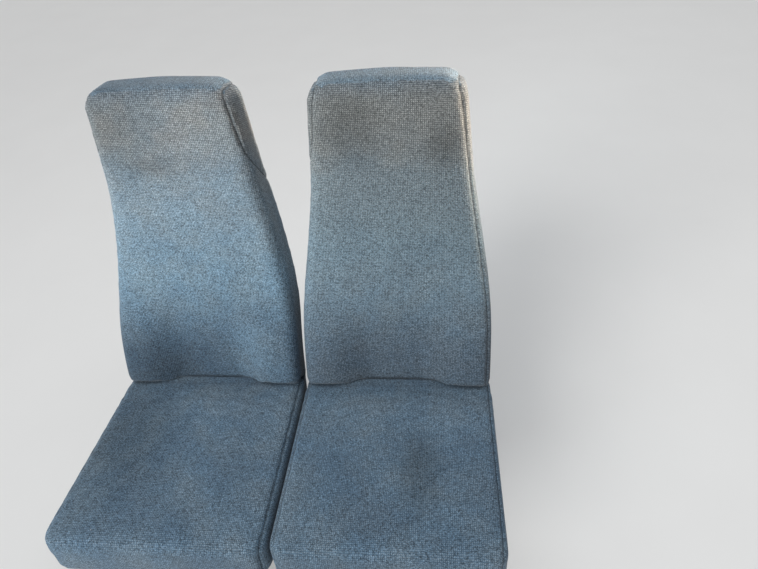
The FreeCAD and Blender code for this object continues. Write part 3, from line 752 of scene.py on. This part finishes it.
# a seam's way over a top corner, from the rear to the front edge: out, rearward and up
OVER_CORNER = (
    (CROWN_HALF, crown_front + BACK_THICK + 0.001, CORNER_HEIGHT),
    (CROWN_HALF, crown_front + BACK_THICK - 0.010, CROWN_HEIGHT),
    (CROWN_HALF, crown_front + 0.045, CROWN_HEIGHT),
    (CROWN_HALF, crown_front + 0.016, 0.677),
)


def back_seams(side):
    """The two seams of one back in its own axes."""
    found = []
    for way, rows in zip((-1, 1), BACK_SEAMS[side]):
        rows = rounded_corners(np.array(rows) / (1, 1000, 1000), 2)
        height, inset, depth = resampled(rows, 0.002).T
        down = np.stack([half_width(height) - inset, front_depth(height) + depth, height], 1)
        found.append(rounded_corners(np.concatenate([OVER_CORNER, down]), 1) * (way, 1, 1))
    return found


def seam_inset(side, middles):
    """How far in from the outline the seam runs beside each face."""
    inset = np.empty(len(middles))
    for way, rows in zip((-1, 1), BACK_SEAMS[side]):
        heights, insets, _ = np.array(rows)[::-1].T
        chosen = middles[:, 0] * way >= 0
        inset[chosen] = np.interp(middles[chosen, 2], heights, insets) / 1000
    return inset


# how far out each plate stands, and the half width, front, rear and top of its pocket
PLATE_OUT = 0.180
POCKET_HALF, POCKET_FRONT, POCKET_REAR, POCKET_TOP = 0.009, 0.028, 0.068, 0.128


def in_plate_pocket(points):
    """Beside the two steel plates that reach up into the foam."""
    across, rear, up = points.T
    beside = np.abs(np.abs(across) - PLATE_OUT)
    deep = (rear > POCKET_FRONT) & (rear < POCKET_REAR) & (up < POCKET_TOP)
    return (beside < POCKET_HALF) & deep


SKIRT_TOP, SKIRT_DEEP, BACK_FOOT = 0.016, 0.030, -0.006
BOARD_INSET, BOARD_TOP, BOARD_NEAR = 0.014, 0.675, 0.005


def back_rests(points):
    """Over the cushion, on the board behind, and around the steel plates."""
    across, rear, up = points.T
    low = (up < SKIRT_TOP) & (rear < SKIRT_DEEP)
    on_board = (np.abs(across) < half_width(up) - BOARD_INSET) & (up < BOARD_TOP)
    on_board &= behind_front(points) > BACK_THICK - BOARD_NEAR
    return low | (up < BACK_FOOT) | on_board | in_plate_pocket(points)


# the solid's hollow above the cushion, half widths at its floor and brim, and the foam's softer one
DISH_DEPTH, DISH_FLAT, DISH_BRIM, DISH_TOP = 0.024, 0.084, 0.130, 0.300
SOFT_FLAT, SOFT_BRIM = 0.050, 0.160
# how deep the foam moves with its front, and the margins that keep the solid's own form
FRONT_REACH, FRONT_FADE = 0.030, 0.018
FOOT_MARGIN, FOOT_FADE = -0.004, 0.010
EDGE_MARGIN, EDGE_FADE = 0.018, 0.010
TOP_MARGIN, TOP_FADE = 0.660, 0.02
FACET_REACH = 0.006


def fade_in(depth, width):
    """0 at the border of an area, rising evenly to 1 at a width inside it."""
    return np.clip(depth / width, 0, 1)


def back_foam(points):
    """The hollow above the cushion, whose straight flanks become long soft ones in the foam."""
    across, rear, up = points.T
    out = np.abs(across)
    front = front_depth(up)
    fall = (out - DISH_FLAT) / (DISH_BRIM - DISH_FLAT)
    flank = DISH_DEPTH - fall * (DISH_DEPTH + BACK_PROUD)
    dished = up < DISH_TOP
    solid = np.maximum(front, np.where(dished, np.minimum(DISH_DEPTH, flank), front))
    gentle = fade_in(SOFT_BRIM - out, SOFT_BRIM - SOFT_FLAT)
    hollow = np.where(dished, np.maximum(0, DISH_DEPTH - front), 0)
    soft = front + hollow * gentle**2 * (3 - 2 * gentle)
    off = np.abs(rear - solid)
    near = fade_in(FRONT_REACH - off, FRONT_FADE)
    above = fade_in(up - FOOT_MARGIN, FOOT_FADE)
    # away from its bevels the front follows the curve exactly, without the solid's flat facets
    smooth = fade_in(half_width(up) - EDGE_MARGIN - out, EDGE_FADE)
    smooth *= fade_in(TOP_MARGIN - up, TOP_FADE) * above * (off < FACET_REACH)
    shift = (soft - solid) * near * above + (solid - rear) * smooth
    return points + np.array((0, 1, 0)) * shift[:, None]


# height and depth of the two creases that leaning back has left, and their common form
CREASES = ((0.532, 0.0007), (0.331, 0.0006))
CREASE_HALF, CREASE_BOW = 0.004, 0.25
FOLD_DEEP, FOLD_OUT, FOLD_FADE = 0.012, 0.17, 0.04
GATHER_PITCH, GATHER_RISE, GATHER_REACH = 0.013, 0.0005, 0.022


def back_folds(points):
    """Two faint creases across the front, and small gathers where a seam rounds a top corner."""
    across, rear, up = points.T
    behind = behind_front(points)
    facing = np.clip(1 - behind / FOLD_DEEP, 0, 1)
    facing *= fade_in(FOLD_OUT - np.abs(across), FOLD_FADE)
    folds = 0
    for height, deep in CREASES:
        bowed = up - height - CREASE_BOW * across**2
        folds = folds - deep * np.exp(-((bowed / CREASE_HALF) ** 2)) * facing
    corner = np.hypot(np.abs(across) - CROWN_HALF, up - CORNER_HEIGHT)
    gathers = np.sin(2 * math.pi * behind / GATHER_PITCH)
    return folds + GATHER_RISE * gathers * np.exp(-((corner / GATHER_REACH) ** 2))


# how far a face turns up or back to belong to the crown or the rear, and sideways to a wall
TURNED_OVER, TURNED_SIDEWAYS = 0.6, 0.2


def back_panels(side, points, middles, normals):
    across, rear, up = points.T
    height = cloth_height(up)
    top = cloth_height(BACK_HEIGHT)
    behind = behind_front(points)
    place = np.stack([across, height], 1)
    inside = np.abs(middles[:, 0]) < half_width(middles[:, 2]) - seam_inset(side, middles)
    over = inside & (normals[:, 2] > TURNED_OVER)
    place[over] = np.stack([across, top + behind], 1)[over]
    rearward = normals[:, 1] > TURNED_OVER
    place[rearward] = np.stack([across, 2 * top + BACK_THICK - height], 1)[rearward]
    sideways = np.abs(normals[:, 0])
    gusset = ~inside & (sideways > TURNED_SIDEWAYS) | (sideways > SQUARE)
    gusset &= ~rearward
    place[gusset] = np.stack([behind + SIDE_CLOTH, height], 1)[gusset]
    return place


# side, place across and up, radii
BACK_STAINS_AND_SHADOW = (
    # the first row is painted shade on the left of the left-hand head, the last is painted shadow
    # on the low left corner of that back, and the others are stains
    ("left", -0.120, 0.620, (0.170, 0.175)),
    ("left", -0.060, 0.530, (0.150, 0.045)),
    ("right", -0.075, 0.600, (0.090, 0.110)),
    ("right", 0.110, 0.560, (0.060, 0.070)),
    ("left", -0.190, 0.040, (0.300, 0.160)),
)
BACK_TONE, BACK_DARKENING, RIGHT_WORN = 1.0, 0.6, 0.16
# a painted pool of light low on the left-hand back: place, radii and strength
LIT_PATCH, PATCH_RADII, PATCH_LIGHT = (0.115, 0.105), (0.110, 0.150), 0.4


def back_soiling_and_painted_light(tree, place):
    """Heads have worn the top third grey and dirtied it. Sun fading and painted light pale the
    middle, and painted light pales the top of each back, most on the right-hand seat, and a spot
    low on the left-hand back. Painted shade darkens the left of the left-hand head and a line along
    the foot, and painted shadow the low left corner of that back. The right-hand seat is greyer and
    more yellowed than the other. Heights are metres of cloth up from the junction."""
    beside, height, _ = node(tree, "ShaderNodeSeparateXYZ", {0: place}).outputs
    right = calc(tree, "GREATER_THAN", beside, CLOTH_OFFSET["right"] / 2)
    blotch = noise(tree, place, 9.0, 3.0, 0.55)
    edge = calc(tree, "ADD", height, calc(tree, "MULTIPLY", blotch, 0.10))
    under_crown = ramp(tree, height, 0.735, 0.65)

    head = calc(tree, "MULTIPLY", ramp(tree, edge, 0.46, 0.66), under_crown)
    head = calc(tree, "MULTIPLY", head, ramp(tree, blotch, 0.25, 0.75, 0.75, 0.98))
    below = calc(tree, "MULTIPLY", ramp(tree, edge, 0.30, 0.58, 0.0, 0.45), under_crown)
    worn = strongest(tree, [head, below, calc(tree, "MULTIPLY", right, RIGHT_WORN)])

    # the middle is paled partly by sun fading and partly as painted light falling on the middle of
    # the back
    middle = calc(tree, "MULTIPLY", ramp(tree, height, 0.06, 0.30), ramp(tree, height, 0.66, 0.48))
    middle = calc(tree, "MULTIPLY", middle, ramp(tree, blotch, 0.2, 0.8, 0.55, 0.95))
    # painted light: the top of each back is paled where light falls on it, most on the right-hand
    # seat
    painted_crown_light = ramp(tree, height, 0.68, 0.735)
    painted_crown_light = calc(tree, "MULTIPLY", painted_crown_light, calc(tree, "MULTIPLY_ADD", right, 0.45, 0.45))
    # painted light: a pool of light painted on the low part of the left-hand back
    painted_light_patch = (CLOTH_OFFSET["left"] + LIT_PATCH[0], cloth_height(LIT_PATCH[1]))
    painted_light_patch = blotted_at(tree, place, painted_light_patch, PATCH_RADII)
    painted_light_patch = calc(tree, "MULTIPLY", painted_light_patch, PATCH_LIGHT)
    paled = strongest(tree, [middle, painted_crown_light, painted_light_patch])

    stains_and_shadows = [
        blotted_at(tree, place, (CLOTH_OFFSET[side] + across, cloth_height(up)), radii)
        for side, across, up, radii in BACK_STAINS_AND_SHADOW
    ]
    stained_and_shaded = calc(tree, "MULTIPLY", strongest(tree, stains_and_shadows), BACK_DARKENING)
    # painted shade: a dark line follows the foot of the back, where it meets the cushion, which the
    # hollow lifts in the middle
    own = calc(tree, "SUBTRACT", beside, calc(tree, "MULTIPLY", right, CLOTH_OFFSET["right"]))
    out = calc(tree, "ABSOLUTE", own)
    foot = ramp(tree, out, DISH_FLAT, DISH_BRIM, cloth_height(0.006), cloth_height(-0.001))
    from_shaded_foot = calc(tree, "ABSOLUTE", calc(tree, "SUBTRACT", height, foot))
    stained_and_shaded = calc(tree, "MAXIMUM", stained_and_shaded, ramp(tree, from_shaded_foot, 0.005, 0.0015, 0.0, 0.9))

    yellowed = calc(tree, "MULTIPLY", under_crown, ramp(tree, height, 0.15, 0.42, 0.2, 0.9))
    return worn, paled, stained_and_shaded, calc(tree, "MULTIPLY", yellowed, right)


back_cloth = seat_cloth("seat_fabric_back", BACK_TONE, back_soiling_and_painted_light)
for side in SIDES:
    back, lines = upholstered(
        f"back_{side}",
        side,
        RECLINE,
        back_seams(side),
        back_rests,
        back_folds,
        back_foam,
    )
    cloth_map(back, side, RECLINE, partial(back_panels, side))
    dressed(back, lines, back_cloth)

# Boards behind the backs: thin board covered in dark grey vinyl with a pebbled grain and pale
# scuffs, held on by a row of round plastic clips down each edge.
vinyl, tree, shader = new_material("back_panel")
place = node(tree, "ShaderNodeTexCoord").outputs["Object"]
pebbles = node(tree, "ShaderNodeTexVoronoi", {"Vector": place, "Scale": 620.0}).outputs["Distance"]
wide = noise(tree, place, 5.0, 4.0, 0.6)
long_place = node(tree, "ShaderNodeMapping", {"Vector": place, "Scale": (160, 160, 9)}).outputs[0]
scuffs = ramp(tree, noise(tree, long_place, 1.0, 3.0, 0.6), 0.66, 0.76, 0.0, 0.5)
grey = mixed(tree, wide, (0.030, 0.032, 0.036, 1), (0.055, 0.057, 0.062, 1))
grey = mixed(tree, scuffs, grey, (0.17, 0.17, 0.17, 1))
tree.links.new(grey, shader.inputs["Base Color"])
tree.links.new(ramp(tree, wide, 0.3, 0.7, 0.5, 0.68), shader.inputs["Roughness"])
bump = node(tree, "ShaderNodeBump", {"Height": pebbles, "Strength": 0.35, "Distance": 0.0004})
tree.links.new(bump.outputs[0], shader.inputs["Normal"])
finished(vinyl, "back_panel")

black_plastic, tree, shader = new_material("plug_plastic")
place = node(tree, "ShaderNodeTexCoord").outputs["Object"]
grain = noise(tree, place, 1200.0)
film = noise(tree, place, 60.0, 3.0)
black = mixed(tree, film, (0.012, 0.012, 0.012, 1), (0.035, 0.034, 0.032, 1))
tree.links.new(black, shader.inputs["Base Color"])
shader.inputs["Roughness"].default_value = 0.55
bump = node(tree, "ShaderNodeBump", {"Height": grain, "Strength": 0.2, "Distance": 0.0003})
tree.links.new(bump.outputs[0], shader.inputs["Normal"])


def ring_of(shape, place, across, up, radius, sides):
    """A ring of points round a place, in the plane of two directions."""
    turns = [2 * math.pi * j / sides for j in range(sides)]
    return [
        shape.verts.new(place + (across * math.cos(turn) + up * math.sin(turn)) * radius)
        for turn in turns
    ]


def skinned(shape, rings):
    """A closed skin over rings of equally many points."""
    for first, second in zip(rings, rings[1:]):
        for j in range(len(first)):
            k = (j + 1) % len(first)
            shape.faces.new((first[j], first[k], second[k], second[j]))
    shape.faces.new(rings[0][::-1])
    shape.faces.new(rings[-1])


def turned(shape, place, axis, profile, sides=24):
    """A turned form on an axis, from pairs of radius and height."""
    place, axis = Vector(place), Vector(axis).normalized()
    across = axis.orthogonal().normalized()
    up = axis.cross(across)
    rings = [
        ring_of(shape, place + axis * height, across, up, radius, sides)
        for radius, height in profile
    ]
    skinned(shape, rings)


def small_part(name, shape, material, smooth=True):
    bmesh.ops.recalc_face_normals(shape, faces=shape.faces)
    mesh = bpy.data.meshes.new(name)
    shape.to_mesh(mesh)
    shape.free()
    mesh.polygons.foreach_set("use_smooth", [smooth] * len(mesh.polygons))
    mesh.materials.append(material)
    piece = object_of(name, mesh)
    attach(piece, "root")


# the board's rear face behind the back's front, and each clip's radii and heights above it
BOARD_REAR = BACK_THICK + 0.005
CLIP_HEIGHTS, CLIP_INSET = (0.02, 0.16, 0.31, 0.46, 0.60), 0.034
CLIP = (
    (0.0068, -0.0003),
    (0.0070, 0.0006),
    (0.0060, 0.0016),
    (0.0035, 0.0021),
    (0.0022, 0.0016),
)
for side in SIDES:
    clips = bmesh.new()
    for height in CLIP_HEIGHTS:
        lean = math.asin(np.interp(height, HEIGHTS, front_sine))
        rearward = np.array((0, math.cos(lean), -math.sin(lean)))
        for way in (-1, 1):
            out = way * (half_width(height) - CLIP_INSET)
            inner = np.array((out, front_depth(height), height))
            spot = to_row(inner + rearward * BOARD_REAR, side, RECLINE)
            turned(clips, spot, rearward @ lean_matrix(RECLINE), CLIP)
    small_part(f"trim_clips_{side}", clips, black_plastic)

# Frame: pressed pans under the cushions, plates that carry the backs, two square cross tubes,
# saddles, folded legs and flanged feet, all of steel, welded together, coated in satin black
# powder and bolted up. Dust lies on what faces up, most of all on the feet.
coat, given = new_group(
    "powder coat",
    {"Place": "Vector", "Dust": "Float"},
    {"Color": "Color", "Roughness": "Float", "Normal": "Vector"},
)
peel = noise(coat, given["Place"], 700.0)
cloud = noise(coat, given["Place"], 14.0, 4.0, 0.6)
normal = node(coat, "ShaderNodeNewGeometry").outputs["Normal"]
up = node(coat, "ShaderNodeSeparateXYZ", {0: normal}).outputs[2]
settled = calc(
    coat, "MULTIPLY", ramp(coat, up, 0.2, 0.95), ramp(coat, cloud, 0.3, 0.7, 0.2, 1.0)
)
settled = calc(coat, "MULTIPLY", settled, given["Dust"])
rounded = node(coat, "ShaderNodeBevel", {"Radius": 0.0012}, samples=4).outputs[0]
facing = node(coat, "ShaderNodeVectorMath", {0: rounded, 1: normal}, operation="DOT_PRODUCT")
rubbed = ramp(coat, facing.outputs["Value"], 0.98, 0.80)
rubbed = calc(coat, "MULTIPLY", rubbed, ramp(coat, cloud, 0.45, 0.6))
paint = mixed(coat, cloud, (0.013, 0.013, 0.014, 1), (0.019, 0.019, 0.021, 1))
paint = mixed(coat, rubbed, paint, (0.16, 0.155, 0.15, 1))
paint = mixed(coat, settled, paint, (0.20, 0.185, 0.165, 1))
bump = node(
    coat,
    "ShaderNodeBump",
    {"Height": peel, "Strength": 0.12, "Distance": 0.0004, "Normal": rounded},
)
gloss = ramp(coat, settled, 0.0, 0.6, 0.42, 0.85)
node(coat, "NodeGroupOutput", {"Color": paint, "Roughness": gloss, "Normal": bump.outputs[0]})


def powder_coated(name, dust):
    material, tree, shader = new_material(name)
    place = node(tree, "ShaderNodeTexCoord").outputs["Object"]
    surface = placed(tree, coat, {"Place": place, "Dust": dust})
    tree.links.new(surface["Color"], shader.inputs["Base Color"])
    tree.links.new(surface["Roughness"], shader.inputs["Roughness"])
    tree.links.new(surface["Normal"], shader.inputs["Normal"])
    return material


frame_paint = powder_coated("frame_steel", 0.55)
foot_paint = powder_coated("foot_steel", 0.9)
finished(frame_paint, "cushion_pan", "back_plate", "front_cross_tube", "rear_cross_tube")
finished(frame_paint, "saddle", "leg")
finished(foot_paint, "foot")

zinc, tree, shader = new_material("zinc")
place = node(tree, "ShaderNodeTexCoord").outputs["Object"]
film = noise(tree, place, 90.0, 3.0, 0.6)
plating = mixed(tree, film, (0.30, 0.29, 0.26, 1), (0.46, 0.45, 0.42, 1))
tree.links.new(plating, shader.inputs["Base Color"])
shader.inputs["Metallic"].default_value = 0.9
tree.links.new(ramp(tree, film, 0.3, 0.7, 0.30, 0.48), shader.inputs["Roughness"])


BEAD_PITCH, BEAD_SIDES = 0.001, 7
RIPPLE_RISE, RIPPLE_STEPS = 0.14, 2.7


def welded(shape, points, radius):
    """A rippled weld bead along a polyline, thinner at its ends."""
    path = resampled(points, BEAD_PITCH)
    rings = []
    for i, place in enumerate(path):
        along = Vector(path[min(i + 1, len(path) - 1)] - path[max(i - 1, 0)]).normalized()
        across = along.orthogonal().normalized()
        taper = min(1.0, 0.4 + min(i, len(path) - 1 - i) / 3)
        ripple = 1 + RIPPLE_RISE * math.sin(2 * math.pi * i / RIPPLE_STEPS)
        size = radius * taper * ripple
        up = along.cross(across)
        rings.append(ring_of(shape, Vector(place), across, up, size, BEAD_SIDES))
    skinned(shape, rings)


# the tubes, saddles, plates and bolts in the cushion's own axes, the legs' half sizes, and how
# thick each kind of bead is
TUBE_UNDER, TUBE_HALF, TUBE_ROWS = -0.1296, 0.016, (-0.318, -0.006)
SADDLE_UNDER, SADDLE_FRONT, SADDLE_REAR = -0.1616, -0.155, 0.006
LEG_OUT, LEG_HALF, BEAD_UP, BEAD_SHORT = 0.022, 0.018, 0.0008, 0.004
PLATE_HALF, PLATE_WELD_SHORT, BOLT_OUT = 0.004, 0.003, 0.105
LEG_BEAD, SADDLE_BEAD, PLATE_BEAD = 0.0024, 0.0022, 0.0018
# washers and hexagon heads, each as pairs of radius and height
BOLT_HEAD = ((0.0078, 0.0008), (0.0078, 0.0058), (0.0066, 0.0064))
WASHER = ((0.0088, -0.0004), (0.0088, 0.0010), (0.0082, 0.0014))
down_on_tube = np.array((0, 0, -1)) @ lean_matrix(TILT)
beads, bolts = bmesh.new(), bmesh.new()
for side in SIDES:
    low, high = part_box(f"leg_{side}")
    leg_middle = (low.x + high.x) / 2
    foot_top = low.z + BEAD_UP
    for way in (-1, 1):
        x = leg_middle + way * LEG_OUT
        ends = [(x, low.y + BEAD_SHORT, foot_top), (x, high.y - BEAD_SHORT, foot_top)]
        welded(beads, ends, LEG_BEAD)
        x = leg_middle - seat_middle[side] + way * (LEG_OUT + BEAD_UP)
        ends = [(x, SADDLE_FRONT, SADDLE_UNDER), (x, SADDLE_REAR, SADDLE_UNDER)]
        welded(beads, to_row(ends, side, TILT), SADDLE_BEAD)
    for y in (low.y, high.y):
        ends = [(leg_middle - LEG_HALF, y, foot_top), (leg_middle + LEG_HALF, y, foot_top)]
        welded(beads, ends, LEG_BEAD)
    rear = TUBE_ROWS[1] + TUBE_HALF
    tube_over = TUBE_UNDER + 2 * TUBE_HALF
    for plate in (-PLATE_OUT, PLATE_OUT):
        for x in (plate - PLATE_HALF, plate + PLATE_HALF):
            lowest, highest = TUBE_UNDER + PLATE_WELD_SHORT, tube_over - PLATE_WELD_SHORT
            ends = [(x, rear, lowest), (x, rear, highest)]
            welded(beads, to_row(ends, side, TILT), PLATE_BEAD)
    for row in TUBE_ROWS:
        for out in (-BOLT_OUT, BOLT_OUT):
            spot = to_row((out, row, TUBE_UNDER), side, TILT)
            turned(bolts, spot, down_on_tube, WASHER)
            turned(bolts, spot, down_on_tube, BOLT_HEAD, 6)
small_part("weld_beads", beads, frame_paint)
small_part("bolts", bolts, zinc, smooth=False)

# Plugs: square caps of black moulded plastic, like the clips, that close the ends of the cross
# tubes. They are pressed in by hand and held by their ribs.
finished(black_plastic, "tube_plugs")

# Floor and light: a plain pale floor and backdrop, and soft daylight from above, from in front
# and from both sides.
FLOOR_HALF = 12
floor_mesh = bpy.data.meshes.new("floor")
corners = [(x * FLOOR_HALF, y * FLOOR_HALF, 0) for x, y in ((-1, -1), (1, -1), (1, 1), (-1, 1))]
floor_mesh.from_pydata(corners, [], [(0, 1, 2, 3)])
floor = object_of("floor", floor_mesh)
floor_paint, tree, shader = new_material("floor")
place = node(tree, "ShaderNodeTexCoord").outputs["Object"]
pale = mixed(tree, noise(tree, place, 3.0, 3.0), (0.83, 0.82, 0.80, 1), (0.87, 0.86, 0.84, 1))
tree.links.new(pale, shader.inputs["Base Color"])
shader.inputs["Roughness"].default_value = 0.7
floor_mesh.materials.append(floor_paint)


def lamp(name, kind, place, target, energy, colour):
    data = bpy.data.lights.new(name, kind)
    data.energy = energy
    data.color = colour
    made = object_of(name, data)
    made.location = place
    made.rotation_euler = (Vector(target) - Vector(place)).to_track_quat("-Z", "Y").to_euler()
    return data


def spot_lamp(name, place, target, energy, colour, cone, radius):
    data = lamp(name, "SPOT", place, target, energy, colour)
    data.spot_size = math.radians(cone)
    data.spot_blend = 0.9
    data.shadow_soft_size = radius


sky = lamp("sky", "AREA", (0.2, 0.2, 3.0), (0.1, 0.0, 0.6), 26, (0.94, 0.97, 1.0))
sky.shape = "SQUARE"
sky.size = 2.5
key = lamp("key", "SUN", (-0.7, -1.0, 0.75), (0, 0, 0), 1.60, (1.0, 0.99, 0.97))
key.angle = math.radians(35)
COOL, WARM = (0.85, 0.95, 1.0), (1.0, 0.87, 0.73)
spot_lamp("left_daylight", (-1.35, -0.85, 1.0), (-0.19, 0.25, 0.88), 232, COOL, 44, 0.5)
spot_lamp("right_daylight", (1.9, 0.52, 1.04), (0.38, 0.32, 1.02), 950, WARM, 21, 0.3)

world = bpy.data.worlds.new("studio")
world.use_nodes = True
scene.world = world
tree = world.node_tree
tree.nodes.clear()
rays = node(tree, "ShaderNodeLightPath").outputs
seen = strongest(
    tree, [rays["Is Camera Ray"], rays["Is Glossy Ray"], rays["Is Transmission Ray"]]
)
glow = node(tree, "ShaderNodeBackground", {"Color": (0.85, 0.88, 0.925, 1), "Strength": 0.46})
backdrop = node(tree, "ShaderNodeBackground", {"Color": (0.63, 0.64, 0.655, 1), "Strength": 1.0})
choice = node(tree, "ShaderNodeMixShader", {0: seen, 1: glow.outputs[0], 2: backdrop.outputs[0]})
node(tree, "ShaderNodeOutputWorld", {0: choice.outputs[0]})
scene.view_settings.view_transform = "Standard"
